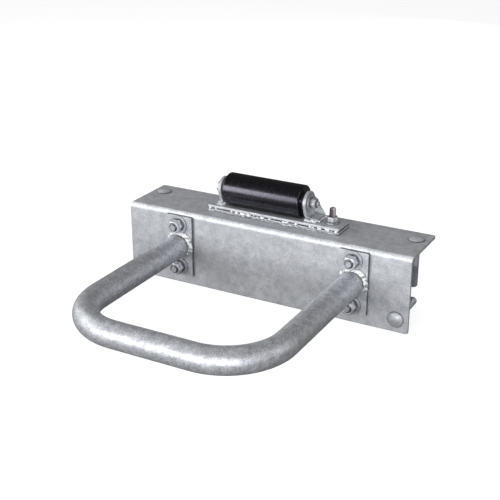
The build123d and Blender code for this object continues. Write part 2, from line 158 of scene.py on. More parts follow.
lamp("key", direction=(-0.54, -0.74, 0.215), distance=6.0, high=3.0, wide=0.7, power=162.0)
lamp("front", direction=(0.31, -0.93, 0.19), distance=1.7, high=0.7, wide=2.7, power=23.5)
lamp("right", direction=(0.92, 0.10, 0.38), distance=2.2, high=0.9, power=7.5)
lamp("left", direction=(-0.93, -0.20, 0.40), distance=2.6, high=1.6, power=24.0)
lamp("fill", direction=(-0.35, -0.1, 1.0), distance=3.5, high=5.0, power=44.0, in_gloss=False)
lamp("back", direction=(0.10, 0.95, 0.22), distance=3.0, high=2.0, power=20.0, in_gloss=False)

# Matt floor paint, grey enough that the part's shadow stays soft.
floor_paint, tree, shader = blank("floor_paint")
rays = add(tree, "ShaderNodeLightPath").outputs
ground = add(tree, "ShaderNodeValToRGB", stops=[(0, FLOOR_TO_PART), (1, FLOOR_TO_CAMERA)],
             Fac=rays["Is Camera Ray"])
in_metal = add(tree, "ShaderNodeMath", {"operation": "MULTIPLY"}, _0=rays["Is Glossy Ray"],
               _1=FLOOR_GLOW_IN_METAL)
glow = add(tree, "ShaderNodeMath", {"operation": "MULTIPLY_ADD"}, _0=rays["Is Camera Ray"], _1=FLOOR_GLOW,
           _2=in_metal.outputs["Value"])
tree.links.new(ground.outputs["Color"], shader.inputs["Base Color"])
tree.links.new(glow.outputs["Value"], shader.inputs["Emission Strength"])
shader.inputs["Emission Color"].default_value = colour(WHITE)
shader.inputs["Roughness"].default_value = FLOOR_ROUGH

floor_mesh = bpy.data.meshes.new("floor")
shape = bmesh.new()
bmesh.ops.create_grid(shape, x_segments=1, y_segments=1, size=FLOOR_SIZE / 2)
bmesh.ops.translate(shape, verts=shape.verts, vec=(0, 0, cad_box[0].z - FLOOR_DROP))
shape.to_mesh(floor_mesh)
shape.free()
floor_mesh.materials.append(floor_paint)
put("floor", floor_mesh)

# Bent angle
# One length of hot-dip galvanised steel plate, bent to a right angle and drilled. The zinc freezes slowly into
# soft cloudy greys with a fine grain and eases the cut edges, and painted shade darkens its corners.
CRYSTAL_TO_CLOUD = 0.5
CRYSTAL_SHARE = 0.12
TINT_FROM = 0.36
TINT_TO = 0.64
CLOUD_RELIEF = 0.00001
GLOSS_SPREAD = 0.08
CORNER_RAYS = 8
CORNER_FROM = 0.2
CORNER_TO = 0.9
MERGE = 1e-6
SAME_PLANE = math.radians(0.5)
SHARP = math.radians(32)
PLATE_EASE = 0.0007


def galvanised(name, pale, dark, cloud_mm=16, grain_mm=2.2, grain_depth=0.00012, rough=0.46, metal=0.5,
               crevice_painted_shade=0.3, crevice_shade_mm=5, speckle=0.5):
    """Hot-dip zinc: soft clouds, faint crystals, a speckled grain, and painted shade that darkens corners.

    Dull zinc has a skin of oxide, so it is only partly metallic. Its clouds are 5 to 16 mm wide and its
    crystals half of that, as on real zinc. Its grain is finer than a millimetre and is drawn at 1.6 to 2.2 mm,
    coarser than real, so that it shows.
    """
    material, tree, shader = blank(name)
    place = add(tree, "ShaderNodeTexCoord").outputs["Object"]
    clouds = add(tree, "ShaderNodeTexNoise", Vector=place, Scale=1000 / cloud_mm, Detail=4.0, Roughness=0.6)
    crystals = add(tree, "ShaderNodeTexVoronoi", Vector=place, Scale=1000 / (cloud_mm * CRYSTAL_TO_CLOUD))
    crystals = add(tree, "ShaderNodeSeparateColor", Color=crystals.outputs["Color"])
    grain = add(tree, "ShaderNodeTexNoise", Vector=place, Scale=1000 / grain_mm, Detail=3.0, Roughness=0.7)
    blend = add(tree, "ShaderNodeMix", Factor=CRYSTAL_SHARE, A=clouds.outputs["Fac"], B=crystals.outputs["Red"])
    blend = add(tree, "ShaderNodeMix", Factor=speckle, A=blend.outputs["Result"], B=grain.outputs["Fac"])
    tint = add(tree, "ShaderNodeValToRGB", stops=[(TINT_FROM, dark), (TINT_TO, pale)],
               Fac=blend.outputs["Result"])
    # Painted shade: the colour is darkened in corners and recesses, where ambient occlusion finds them.
    corner = add(tree, "ShaderNodeAmbientOcclusion", {"samples": CORNER_RAYS}, Distance=crevice_shade_mm / 1000)
    corner = add(tree, "ShaderNodeMapRange", Value=corner.outputs["AO"], From_Min=CORNER_FROM,
                 From_Max=CORNER_TO, To_Min=crevice_painted_shade, To_Max=1.0)
    tree.links.new(tint.outputs["Color"], shader.inputs["Base Color"])
    tone_by(material, corner.outputs["Result"])
    gloss = add(tree, "ShaderNodeMapRange", Value=grain.outputs["Fac"], From_Min=0.35, From_Max=0.65,
                To_Min=rough - GLOSS_SPREAD, To_Max=rough + GLOSS_SPREAD)
    tree.links.new(gloss.outputs["Result"], shader.inputs["Roughness"])
    shader.inputs["Metallic"].default_value = metal
    bump = add(tree, "ShaderNodeBump", Strength=1.0, Distance=grain_depth, Height=grain.outputs["Fac"])
    bump = add(tree, "ShaderNodeBump", Strength=1.0, Distance=cloud_mm * CLOUD_RELIEF,
               Height=clouds.outputs["Fac"], Normal=bump.outputs["Normal"])
    tree.links.new(bump.outputs["Normal"], shader.inputs["Normal"])
    return material


def tone_by(material, factor):
    """Multiply the colour that a material already has by factor."""
    tree = material.node_tree
    finish = tree.nodes["Principled BSDF"].inputs["Base Color"]
    painted = finish.links[0].from_socket
    toned = add(tree, "ShaderNodeVectorMath", {"operation": "SCALE"}, _0=painted, Scale=factor)
    tree.links.new(toned.outputs["Vector"], finish)


def tone_along(material, measure, direction, start, stop, before, after, centre=None):
    """Tone a finish from before to after between start and stop of its Object place or Normal along direction.

    With a centre, start and stop are distances from it on both sides.
    """
    tree = material.node_tree
    place = add(tree, "ShaderNodeTexCoord").outputs[measure]
    along = add(tree, "ShaderNodeVectorMath", {"operation": "DOT_PRODUCT"}, _0=place, _1=direction)
    along = along.outputs["Value"]
    if centre is not None:
        along = add(tree, "ShaderNodeMath", {"operation": "SUBTRACT"}, _0=along, _1=centre).outputs["Value"]
        along = add(tree, "ShaderNodeMath", {"operation": "ABSOLUTE"}, _0=along).outputs["Value"]
    tone = add(tree, "ShaderNodeMapRange", Value=along, From_Min=start, From_Max=stop, To_Min=before,
               To_Max=after)
    tone_by(material, tone.outputs["Result"])


def joined(node):
    """A bmesh of a CAD node with its loose triangles joined."""
    shape = bmesh.new()
    shape.from_mesh(nodes[node].data)
    bmesh.ops.remove_doubles(shape, verts=shape.verts, dist=MERGE)
    return shape


def ease(shape, width, segments=2, clamp=False):
    """Round off the sharp edges of a closed bmesh."""
    sharp = [edge for edge in shape.edges if edge.is_manifold and edge.calc_face_angle() > SHARP]
    bmesh.ops.bevel(shape, geom=sharp, offset=width, offset_type="OFFSET", segments=segments, profile=0.5,
                    affect="EDGES", clamp_overlap=clamp, material=-1)


def place_piece(shape, name, material, stands_for, smooth_angle=35):
    """Make a piece of the bmesh on the frame, with its finish, in place of the CAD nodes it stands for."""
    mesh = bpy.data.meshes.new(name)
    shape.to_mesh(mesh)
    shape.free()
    mesh.materials.append(material)
    mesh.shade_smooth()
    mesh.set_sharp_from_angle(angle=math.radians(smooth_angle))
    piece = put(name, mesh)
    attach(piece, "frame")
    if stands_for:
        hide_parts(*stands_for)
    return piece


def eased(node, material, width, segments=2):
    """A copy of a CAD node with its sharp edges rounded off, as the zinc leaves them."""
    shape = joined(node)
    bmesh.ops.dissolve_limit(shape, angle_limit=SAME_PLANE, use_dissolve_boundaries=False, verts=shape.verts,
                             edges=shape.edges, delimit=set())
    ease(shape, width, segments)
    piece = place_piece(shape, node + "_zinc", material, [node])
    piece.modifiers.new("flat_faces", "WEIGHTED_NORMAL").keep_sharp = True


# Hot-dip galvanised steel plate: pale, dull and cloudy. A highlight is painted along the outside of the bend,
# where the colour is made lighter.
BEND_OUT = (0, -0.8, 1.2)
BEND_FROM = 0.0046
BEND_FULL = 0.0060
BEND_PAINTED_HIGHLIGHT = 1.6
zinc_plate = galvanised("galvanised_plate", "#D6D8DC", "#A1A4AA", grain_mm=2.0, grain_depth=0.0003, rough=0.54,
                        metal=0.55, speckle=0.6)
tone_along(zinc_plate, "Object", BEND_OUT, start=BEND_FROM, stop=BEND_FULL, before=1.0, after=BEND_PAINTED_HIGHLIGHT)
eased("dock_angle", zinc_plate, PLATE_EASE)

# Pipe hoop
# Steel pipe bent cold and dipped after welding. The zinc runs off the round pipe, so its coat is grainier and
# a little darker than the plate's.
PIT_MM = 3.2
PIT_DARK = 0.55


def dress(node, material):
    """Give a CAD node the material on each of its slots."""
    for slot in nodes[node].material_slots:
        slot.material = material


# Hot-dip galvanised pipe, shinier than plate, with pits in the coat. The pits are a millimetre or less across
# and are drawn at 3.2 mm, coarser than real, so that they show.
zinc_pipe = galvanised("galvanised_pipe", "#DFE1E5", "#8F929A", cloud_mm=11, grain_mm=1.9, grain_depth=0.0005,
                       rough=0.41, metal=0.64, speckle=0.6)
tree = zinc_pipe.node_tree
place = add(tree, "ShaderNodeTexCoord").outputs["Object"]
pits = add(tree, "ShaderNodeTexNoise", Vector=place, Scale=1000 / PIT_MM, Detail=2.0, Roughness=0.6)
pits = add(tree, "ShaderNodeMapRange", Value=pits.outputs["Fac"], From_Min=0.60, From_Max=0.68, To_Min=1.0,
           To_Max=PIT_DARK)
tone_by(zinc_pipe, pits.outputs["Result"])
dress("hoop_pipe", zinc_pipe)

# Plates at the ends of the hoop
# Galvanised flat bar cut to length, drilled above and below the pipe, and welded to the pipe's end before the
# dip. Two bolts clamp each plate to the angle.
ALONG_Y = (0, 1, 0)
# Painted shade on the plates' cut edges, whose normals turn away from the front and back.
CUT_FROM = 0.5
CUT_TO = 0.9
CUT_EDGE_PAINTED_SHADE = 0.42

# Hot-dip galvanised flat bar: its faces are as cloudy as the angle's, and painted shade darkens its cut
# edges.
zinc_flat = galvanised("galvanised_flat_bar", "#D8DADE", "#A0A3A9", grain_mm=2.0, grain_depth=0.0003,
                       rough=0.54, metal=0.55, speckle=0.6)
tone_along(zinc_flat, "Normal", ALONG_Y, start=CUT_FROM, stop=CUT_TO, before=CUT_EDGE_PAINTED_SHADE, after=1.0, centre=0)
for side in ("left", "right"):
    eased(side + "_hoop_plate", zinc_flat, PLATE_EASE)

# Weld round the pipe
# A fillet weld laid by hand in short steps, so that the bead is rippled and uneven, and heavier on top and to
# the right. The dip leaves it brighter than the plate.
WELD_VOXEL = 0.0007
WELD_LUMP = 0.0028
WELD_GROW = 0.0004
WELD_SINK = 0.0008
WELD_LUMP_SIZE = 0.0055
SEED_STEPS = (3.7, 1.3, 2.1)
HOOP_WELD_HEAVY = (0.0010, 0, 0.0014)
# Painted light and shade on the hoop welds: the bead keeps its colour where it faces this way, and painted
# shade darkens the rest.
WELD_PAINTED_LIGHT_FROM = (0.42, 0, 0.77)
WELD_PAINTED_SHADE = 0.46


def lumpy_bead(shape, name, seed, material, stands_for, lump=WELD_LUMP, grow=WELD_GROW, heavy=(0, 0, 0)):
    """A bead of a plain bmesh: remeshed evenly, then pushed in and out in lumps, further on its heavy side."""
    plain = put(name + "_plain", bpy.data.meshes.new(name + "_plain"))
    shape.to_mesh(plain.data)
    shape.free()
    remesh = plain.modifiers.new("even", "REMESH")
    remesh.mode = "VOXEL"
    remesh.voxel_size = WELD_VOXEL
    even = bpy.data.meshes.new_from_object(plain.evaluated_get(bpy.context.evaluated_depsgraph_get()))
    shape = bmesh.new()
    shape.from_mesh(even)
    bpy.data.objects.remove(plain)
    bmesh.ops.smooth_vert(shape, verts=shape.verts, factor=0.5, use_axis_x=True, use_axis_y=True,
                          use_axis_z=True)
    shape.normal_update()
    shift = Vector([seed * step for step in SEED_STEPS])
    heavy = Vector(heavy)
    for vert in shape.verts:
        push = grow + vert.normal.dot(heavy) + lump * noise.noise(vert.co / WELD_LUMP_SIZE + shift)
        vert.co += vert.normal * max(push, -WELD_SINK)
    place_piece(shape, name, material, stands_for, smooth_angle=70)


# Galvanised weld metal: smooth and nearly white, with painted shade that darkens the bead wherever it doesn't
# face up and to the right.
zinc_hoop_weld = galvanised("galvanised_hoop_weld", WHITE, "#E6E8EC", cloud_mm=5, grain_mm=1.6,
                            grain_depth=0.0003, rough=0.34, metal=0.1, crevice_painted_shade=0.4, crevice_shade_mm=3)
tone_along(zinc_hoop_weld, "Normal", WELD_PAINTED_LIGHT_FROM, start=0.30, stop=0.48, before=WELD_PAINTED_SHADE, after=1.0)
for seed, node in enumerate(("left_hoop_weld", "right_hoop_weld"), 1):
    lumpy_bead(joined(node), node + "_bead", seed, zinc_hoop_weld, [node],
               heavy=HOOP_WELD_HEAVY)

# Bolts, nuts and washers of the hoop plates
# Hexagon bolts of galvanised steel put through from behind, with a flat washer, a split lock washer and a nut
# at the front. The threads are cut and the nuts countersunk, so a dark ring shows round each bolt's end, and
# painted shade on the threads deepens it.
HOOP_BOLT_RADIUS = 0.00794
HOOP_PITCH = 0.00231
HOOP_BOLT_X = (-0.18445, 0.19405)
HOOP_BOLT_Z = (-0.10735, -0.01735)
HOOP_NUT_HEIGHT = 0.0135
HOOP_NUT_FLATS = 0.0238
HOOP_HEAD_HEIGHT = 0.0099
LOCK_WASHER_EASE = 0.0004
FLAT_WASHER_EASE = 0.0005
TOWARDS_FRONT = Matrix.Rotation(math.radians(90), 4, "X")
TOWARDS_BACK = Matrix.Rotation(math.radians(-90), 4, "X")

# Places along a hoop bolt, forwards from the back of the angle's front leg.
HOOP_THREAD_FROM = 0.016
HOOP_NUT_SEAT = 0.0196
HOOP_BOLT_END = 0.0353

# A shank reaches a little into its head, and its thread a little over its plain part.
SEGMENTS = 36
IN_HEAD = 0.002
OVERLAP = 0.001
BOLT_CHAMFER = 0.0023

# The turned face of a nut is a share of its flats, its bore and countersink are shares of the bolt's radius.
NUT_EASE = 0.0003
NUT_FACE = 0.95
NUT_CHAMFER = math.radians(30)
BORE = 0.99
COUNTERSINK = 1.12
COUNTERSINK_DROP = 0.25

# A thread's depth is a share of its pitch, and the points of its shape are shares of its depth and its pitch.
THREAD_STEPS = 24
THREAD_SPARE = 2
THREAD_DEPTH = 0.541
THREAD_SHAPE = ((0, 0), (0, 0.125), (1, 0.4375), (1, 0.6875), (0, 1))


def join(shape, part, matrix):
    """Add a part, made along Z, to the shape at the matrix's place."""
    bmesh.ops.recalc_face_normals(part, faces=part.faces)
    bmesh.ops.transform(part, matrix=matrix, verts=part.verts)
    made = bpy.data.meshes.new("part")
    part.to_mesh(made)
    part.free()
    shape.from_mesh(made)
    bpy.data.meshes.remove(made)


def turned(shape, points, start=None, **spin):
    """A line on from the start through the points, spun round Z with all that the shape has."""
    line = ([start] if start else []) + [shape.verts.new(point) for point in points]
    for pair in zip(line, line[1:]):
        shape.edges.new(pair)
    bmesh.ops.spin(shape, geom=shape.verts[:] + shape.edges[:], cent=(0, 0, 0), axis=(0, 0, 1), **spin)
    bmesh.ops.remove_doubles(shape, verts=shape.verts, dist=MERGE)


def shank(shape, radius, pitch, low, thread_from, high, matrix):
    """A round bar along the matrix's Z from low to high, threaded from thread_from, turned off at its end."""
    middle = Matrix.Translation((0, 0, (thread_from + low) / 2))
    bmesh.ops.create_cone(shape, cap_ends=True, segments=SEGMENTS, radius1=radius, radius2=radius,
                          depth=thread_from - low, matrix=matrix @ middle)
    cut = bmesh.new()
    foot = thread_from - OVERLAP
    turns = math.ceil((high - foot) / pitch) + THREAD_SPARE + 1
    turned(cut, [(radius - sunk * THREAD_DEPTH * pitch, 0, foot + (rise - THREAD_SPARE) * pitch)
                 for sunk, rise in THREAD_SHAPE],
           dvec=(0, 0, pitch / THREAD_STEPS), angle=math.tau * turns, steps=THREAD_STEPS * turns)
    for level, facing in ((high, 1), (foot, -1)):
        kept = bmesh.ops.bisect_plane(cut, geom=cut.verts[:] + cut.edges[:] + cut.faces[:], dist=1e-7,
                                      plane_co=(0, 0, level), plane_no=(0, 0, facing), clear_outer=True)
        bmesh.ops.edgeloop_fill(cut, edges=[g for g in kept["geom_cut"] if isinstance(g, bmesh.types.BMEdge)])
    for vert in cut.verts:
        limit = radius - max(BOLT_CHAMFER - (high - vert.co.z), 0)
        reach = vert.co.xy.length
        if reach > limit:
            vert.co.xy *= limit / reach
    join(shape, cut, matrix)


def drawn_out(block, edges):
    """Extrude the edges of a block, and give the new edges and their vertices."""
    made = bmesh.ops.extrude_edge_only(block, edges=edges)["geom"]
    return ([g for g in made if isinstance(g, bmesh.types.BMEdge)],
            [g for g in made if isinstance(g, bmesh.types.BMVert)])


def hexagon(shape, flats, height, matrix, bore=0.0, seat=0.0):
    """A hexagon nut or head that stands at seat on the matrix's Z, turned off at its corners."""
    block = bmesh.new()
    face = NUT_FACE * flats / 2
    bmesh.ops.create_circle(block, cap_ends=not bore, segments=SEGMENTS, radius=face)
    rim = inner = block.edges[:]
    for at_foot in (False, True):
        rim, corners = drawn_out(block, rim)
        for vert in corners:
            turn = math.atan2(vert.co.y, vert.co.x) % (math.pi / 3) - math.pi / 6
            reach = flats / 2 / math.cos(turn)
            vert.co.xy = vert.co.xy.normalized() * reach
            vert.co.z = -height if at_foot else -(reach - face) * math.tan(NUT_CHAMFER)
    if bore:
        for reach, drop in ((COUNTERSINK, 0), (BORE, COUNTERSINK_DROP * bore), (BORE, height)):
            inner, ring = drawn_out(block, inner)
            for vert in ring:
                vert.co.xy = vert.co.xy.normalized() * reach * bore
                vert.co.z = -drop
        bmesh.ops.bridge_loops(block, edges=rim + inner)
    else:
        bmesh.ops.edgeloop_fill(block, edges=rim)
    bmesh.ops.recalc_face_normals(block, faces=block.faces)
    ease(block, NUT_EASE, clamp=True)
    join(shape, block, matrix @ Matrix.Translation((0, 0, seat + height)))


# Galvanised nuts and washers: spun after the dip, so their zinc is thin and shiny, with painted shade that
# makes them nearly black in corners.
zinc_small = galvanised("galvanised_fastener", "#E2E4E8", "#A0A3AA", cloud_mm=6, grain_mm=1.6, rough=0.34,
                        metal=0.65, crevice_painted_shade=0.02, crevice_shade_mm=6.5)

# Galvanised spring steel: its thin coat leaves it darker than the nuts.
spring_steel = galvanised("galvanised_spring", "#8E9198", "#5E616A", cloud_mm=6, grain_mm=1.6, rough=0.4,
                          metal=0.6, crevice_painted_shade=0.1, crevice_shade_mm=5)

# Galvanised bolts: bright on their turned ends, with painted shade that darkens their threads.
THREAD_PAINTED_SHADE = 0.25
zinc_thread = galvanised("galvanised_thread", "#E2E4E8", "#A0A3AA", cloud_mm=6, grain_mm=1.6, rough=0.34,
                         metal=0.65, crevice_painted_shade=0.1, crevice_shade_mm=4)
tone_along(zinc_thread, "Normal", ALONG_Y, start=0.8, stop=0.95, before=THREAD_PAINTED_SHADE, after=1.0, centre=0)

nuts = bmesh.new()
bolts = bmesh.new()
for x in HOOP_BOLT_X:
    for z in HOOP_BOLT_Z:
        spot = Matrix.Translation((x, 0, z))
        hexagon(nuts, HOOP_NUT_FLATS, HOOP_NUT_HEIGHT, spot @ TOWARDS_FRONT, bore=HOOP_BOLT_RADIUS,
                seat=HOOP_NUT_SEAT)
        hexagon(bolts, HOOP_NUT_FLATS, HOOP_HEAD_HEIGHT, spot @ TOWARDS_BACK)
        shank(bolts, HOOP_BOLT_RADIUS, HOOP_PITCH, -IN_HEAD, HOOP_THREAD_FROM, HOOP_BOLT_END,
              spot @ TOWARDS_FRONT)
place_piece(nuts, "hoop_nuts_countersunk", zinc_small, ["hoop_nuts"])
place_piece(bolts, "hoop_bolts_threaded", zinc_thread, ["hoop_bolts"])
eased("hoop_lock_washers", spring_steel, LOCK_WASHER_EASE)
eased("hoop_flat_washers", zinc_small, FLAT_WASHER_EASE)

# Round-head bolts
# Carriage bolts of galvanised steel: a low dome with a thin rim, a square neck that locks in a square hole, and
# a shank with a threaded end. Two go down through the top leg and two back through the front leg. Their shanks
# are hidden in the photograph, so their length is a common one.
ANGLE_THICK = 0.00635
DOWNWARDS = Matrix.Rotation(math.radians(180), 4, "X")
CARRIAGE_X = (-0.28, 0.28)
CARRIAGE_PLACES = {"deck_carriage_bolts": (0.08255, ANGLE_THICK, DOWNWARDS),
                   "fascia_carriage_bolts": (-ANGLE_THICK, -0.12065, TOWARDS_BACK)}
DOME_RADIUS = 0.0156
DOME_HEIGHT = 0.0064
DOME_RIM = 0.0011
DOME_BULGE = 0.0002
DOME_STEPS = 10
DOME_SEGMENTS = 48
NECK_WIDE = 0.01588
NECK_LENGTH = 0.0083
CARRIAGE_RADIUS = 0.00794
CARRIAGE_LENGTH = 0.095
CARRIAGE_THREAD_FROM = 0.05
# Painted shade under the domes' rims:
RIM_PAINTED_SHADE = 0.22
BEHIND_FROM = 0.0055
BEHIND_TO = 0.0061

# Galvanised bolt heads, duller than the nuts, with a line of painted shade under the rim. The line is
# measured outwards from the angle's corner, upwards on the top leg and forwards on the front leg, and ends
# behind the faces.
zinc_dome = galvanised("galvanised_dome", "#D4D6DA", "#9A9DA4", cloud_mm=6, grain_mm=1.6, rough=0.48, metal=0.5,
                       crevice_painted_shade=0.1, crevice_shade_mm=4)
tree = zinc_dome.node_tree
place = add(tree, "ShaderNodeTexCoord").outputs["Object"]
place = add(tree, "ShaderNodeSeparateXYZ", Vector=place).outputs
outward = add(tree, "ShaderNodeMath", {"operation": "MULTIPLY"}, _0=place["Y"], _1=-1.0).outputs["Value"]
outward = add(tree, "ShaderNodeMath", {"operation": "MAXIMUM"}, _0=place["Z"], _1=outward).outputs["Value"]
rim = add(tree, "ShaderNodeMapRange", Value=outward, From_Min=ANGLE_THICK + DOME_RIM,
          From_Max=ANGLE_THICK + DOME_RIM * 2, To_Min=RIM_PAINTED_SHADE, To_Max=1.0)
behind = add(tree, "ShaderNodeMapRange", Value=outward, From_Min=BEHIND_FROM, From_Max=BEHIND_TO, To_Min=1.0,
             To_Max=0.0)
rim = add(tree, "ShaderNodeMath", {"operation": "MAXIMUM"}, _0=rim.outputs["Result"],
          _1=behind.outputs["Result"])
tone_by(zinc_dome, rim.outputs["Value"])

# The dome is part of a ball, drawn as an arc from its top to its rim, with the rim below it.
cap = DOME_HEIGHT - DOME_RIM
ball = (DOME_RADIUS**2 + cap**2) / (2 * cap)
for node, (y, z, turn) in CARRIAGE_PLACES.items():
    shape = bmesh.new()
    for x in CARRIAGE_X:
        spot = Matrix.Translation((x, y, z)) @ turn
        dome = bmesh.new()
        arc = bmesh.ops.spin(dome, geom=[dome.verts.new((0, 0, -DOME_HEIGHT))], cent=(0, 0, ball - DOME_HEIGHT),
                             axis=(0, -1, 0), angle=math.asin(DOME_RADIUS / ball), steps=DOME_STEPS)
        turned(dome, [(DOME_RADIUS + DOME_BULGE, 0, -DOME_RIM / 2), (DOME_RADIUS, 0, 0), (0, 0, 0)],
               start=arc["geom_last"][0], angle=math.tau, steps=DOME_SEGMENTS, use_merge=True)
        neck = bmesh.ops.create_cube(dome, size=1)["verts"]
        bmesh.ops.scale(dome, verts=neck, vec=(NECK_WIDE, NECK_WIDE, NECK_LENGTH + OVERLAP))
        bmesh.ops.translate(dome, verts=neck, vec=(0, 0, (NECK_LENGTH - OVERLAP) / 2))
        join(shape, dome, spot)
        shank(shape, CARRIAGE_RADIUS, HOOP_PITCH, -OVERLAP, CARRIAGE_THREAD_FROM, CARRIAGE_LENGTH, spot)
    place_piece(shape, node + "_threaded", zinc_dome, [node])

# Strips under the roller
# Two flat bars laid one on the other and welded to the angle. The dip rounds their edges, and painted shade
# darkens the seam between them, with blobs of zinc and spatter that hang on it.
STRIP_LEFT = -0.1415
STRIP_RIGHT = 0.1435
STRIP_FRONT = 0.03175
STRIP_SEAM = 0.0127
STRIP_EASE = 0.0017
STRIP_WELD_LUMP = 0.0034
ALONG_Z = (0, 0, 1)
# Painted shade in the seam between the strips:
SEAM_PAINTED_SHADE = 0.05
SEAM_DARK_TO = 0.00099
SEAM_CLEAR_FROM = 0.00171

# Galvanised flat bar, rougher than the plate, with painted shade nearly black in its seam.
zinc_strip = galvanised("galvanised_strip", "#D2D4D8", "#9EA1A8", cloud_mm=9, grain_mm=1.9, grain_depth=0.0004,
                        crevice_painted_shade=0.15, crevice_shade_mm=4)
tone_along(zinc_strip, "Object", ALONG_Z, start=SEAM_DARK_TO, stop=SEAM_CLEAR_FROM, before=SEAM_PAINTED_SHADE, after=1.0,
           centre=STRIP_SEAM)
for node in ("roller_pad_plate", "roller_base_plate"):
    eased(node, zinc_strip, STRIP_EASE, segments=3)
lumpy_bead(joined("base_plate_weld"), "base_plate_weld_bead", 3, zinc_strip,
           ["base_plate_weld"], lump=STRIP_WELD_LUMP, grow=0.0)

# Drops of bare zinc, white where they stand out of the seam, with painted shade that darkens them inside it.
SPATTER_DEEP = 0.0018
SPATTER_HIGH = 0.00234
SPATTER_IN = 0.00153
SPATTER_LUMP = 0.0070
SPATTER_GROW = -0.0002
SPATTER_WHITE_TO = 0.0003
SPATTER_DARK_FROM = 0.0010
SPATTER_PAINTED_SHADE = 0.04
zinc_spatter = galvanised("galvanised_spatter", WHITE, "#D8DADE", cloud_mm=5, grain_mm=1.6, grain_depth=0.0003,
                          rough=0.34, metal=0.25, crevice_painted_shade=0.03, crevice_shade_mm=3)
tone_along(zinc_spatter, "Object", ALONG_Y, start=STRIP_FRONT + SPATTER_WHITE_TO,
           stop=STRIP_FRONT + SPATTER_DARK_FROM, before=1.0, after=SPATTER_PAINTED_SHADE)
seam = bmesh.new()
bmesh.ops.create_cube(seam, size=1)
bmesh.ops.scale(seam, verts=seam.verts, vec=(STRIP_RIGHT - STRIP_LEFT, SPATTER_DEEP, SPATTER_HIGH))
bmesh.ops.translate(seam, verts=seam.verts,
                    vec=((STRIP_LEFT + STRIP_RIGHT) / 2, STRIP_FRONT + SPATTER_IN, STRIP_SEAM))
lumpy_bead(seam, "strip_seam_zinc", 6, zinc_spatter, [], SPATTER_LUMP, SPATTER_GROW)

# Ears of the roller
# The left ear is a flat bar with a round top, the right one is the same bar bent outwards into a foot with a
# gusset behind. Both are welded to the upper strip, with most of the bead along their front.
EAR_FRONT = 0.04615
EAR_EASE = 0.0008
EAR_SPANS = {"left": (-0.1255, -0.1095), "right": (0.067, 0.0935)}
STRIP_TOP = 0.01905
EAR_BEAD_REACH = 0.009
EAR_BEAD_RISE = 0.0055
EAR_BEAD_UNDER = 0.002
EAR_BEAD_SUNK = 0.0008
EAR_BEAD_NOSE = (0.7, 1, -0.5)

# Galvanised weld metal, brighter and smoother than the strips.
zinc_weld = galvanised("galvanised_weld", "#F0F1F3", "#C9CBD0", cloud_mm=5, grain_mm=1.6, grain_depth=0.0003,
                       rough=0.34, metal=0.35, crevice_painted_shade=0.35, crevice_shade_mm=4)
for seed, (side, (start, stop)) in enumerate(EAR_SPANS.items(), 4):
    eased(side + "_roller_ear", zinc_strip, EAR_EASE)
    shape = joined(side + "_ear_weld")
    wedge = bmesh.ops.create_cube(shape, size=1)["verts"]
    bmesh.ops.scale(shape, verts=wedge, vec=(stop - start, EAR_BEAD_REACH, EAR_BEAD_RISE))
    bmesh.ops.scale(shape, verts=[v for v in wedge if v.co.y < 0 < v.co.z], vec=EAR_BEAD_NOSE)
    bmesh.ops.translate(shape, verts=wedge,
                        vec=((start + stop) / 2, EAR_FRONT + EAR_BEAD_UNDER - EAR_BEAD_REACH / 2,
                             STRIP_TOP + EAR_BEAD_RISE / 2 - EAR_BEAD_SUNK))
    lumpy_bead(shape, side + "_ear_weld_bead", seed, zinc_weld, [side + "_ear_weld"])

# Roller
# A cylinder of hard black rubber, moulded and then turned in a lathe, on two plain plastic bushes that run on
# the axle bolt. The two are one body and turn together.
RUBBER_CLOUD_MM = 9
RUBBER_CLOUD_RELIEF = 0.00008
LATHE_WAVE_MM = 6.2832
WAVE_REPEAT = math.tau / 20
LATHE_WAVE_RELIEF = 0.00003
NYLON_CLOUD_MM = 5

# Turned black rubber: nearly black, a little bluish, and shiny enough for one soft streak. A lathe's marks are
# a few tenths of a millimetre apart. They are drawn far coarser than real, as faint waves 6.3 mm long that
# show, and a wave texture repeats every tau / 20 of its scale.
rubber, tree, shader = blank("turned_black_rubber")
place = add(tree, "ShaderNodeTexCoord").outputs["Object"]
cloud = add(tree, "ShaderNodeTexNoise", Vector=place, Scale=1000 / RUBBER_CLOUD_MM, Detail=5.0,
            Roughness=0.7).outputs["Fac"]
tint = add(tree, "ShaderNodeValToRGB", stops=[(0.35, "#030305"), (0.7, "#09080C")], Fac=cloud)
gloss = add(tree, "ShaderNodeMapRange", Value=cloud, From_Min=0.3, From_Max=0.7, To_Min=0.19, To_Max=0.31)
waves = add(tree, "ShaderNodeTexWave", {"bands_direction": "X"}, Vector=place,
            Scale=1000 / LATHE_WAVE_MM * WAVE_REPEAT, Distortion=1.5, Detail=2.0)
bump = add(tree, "ShaderNodeBump", Strength=0.6, Distance=LATHE_WAVE_RELIEF, Height=waves.outputs["Fac"])
bump = add(tree, "ShaderNodeBump", Strength=1.0, Distance=RUBBER_CLOUD_RELIEF, Height=cloud,
           Normal=bump.outputs["Normal"])
tree.links.new(tint.outputs["Color"], shader.inputs["Base Color"])
tree.links.new(gloss.outputs["Result"], shader.inputs["Roughness"])
tree.links.new(bump.outputs["Normal"], shader.inputs["Normal"])
shader.inputs["Specular IOR Level"].default_value = 0.85
shader.inputs["Specular Tint"].default_value = colour("#EFEEFF")
dress("roller", rubber)

# Moulded nylon: off-white with faint clouds, and matt.
nylon, tree, shader = blank("moulded_nylon")
place = add(tree, "ShaderNodeTexCoord").outputs["Object"]
cloud = add(tree, "ShaderNodeTexNoise", Vector=place, Scale=1000 / NYLON_CLOUD_MM, Detail=3.0)
tint = add(tree, "ShaderNodeValToRGB", stops=[(0.3, "#B8B5AB"), (0.7, "#D0CDC4")], Fac=cloud.outputs["Fac"])
tree.links.new(tint.outputs["Color"], shader.inputs["Base Color"])
shader.inputs["Roughness"].default_value = 0.55
dress("roller_bushes", nylon)

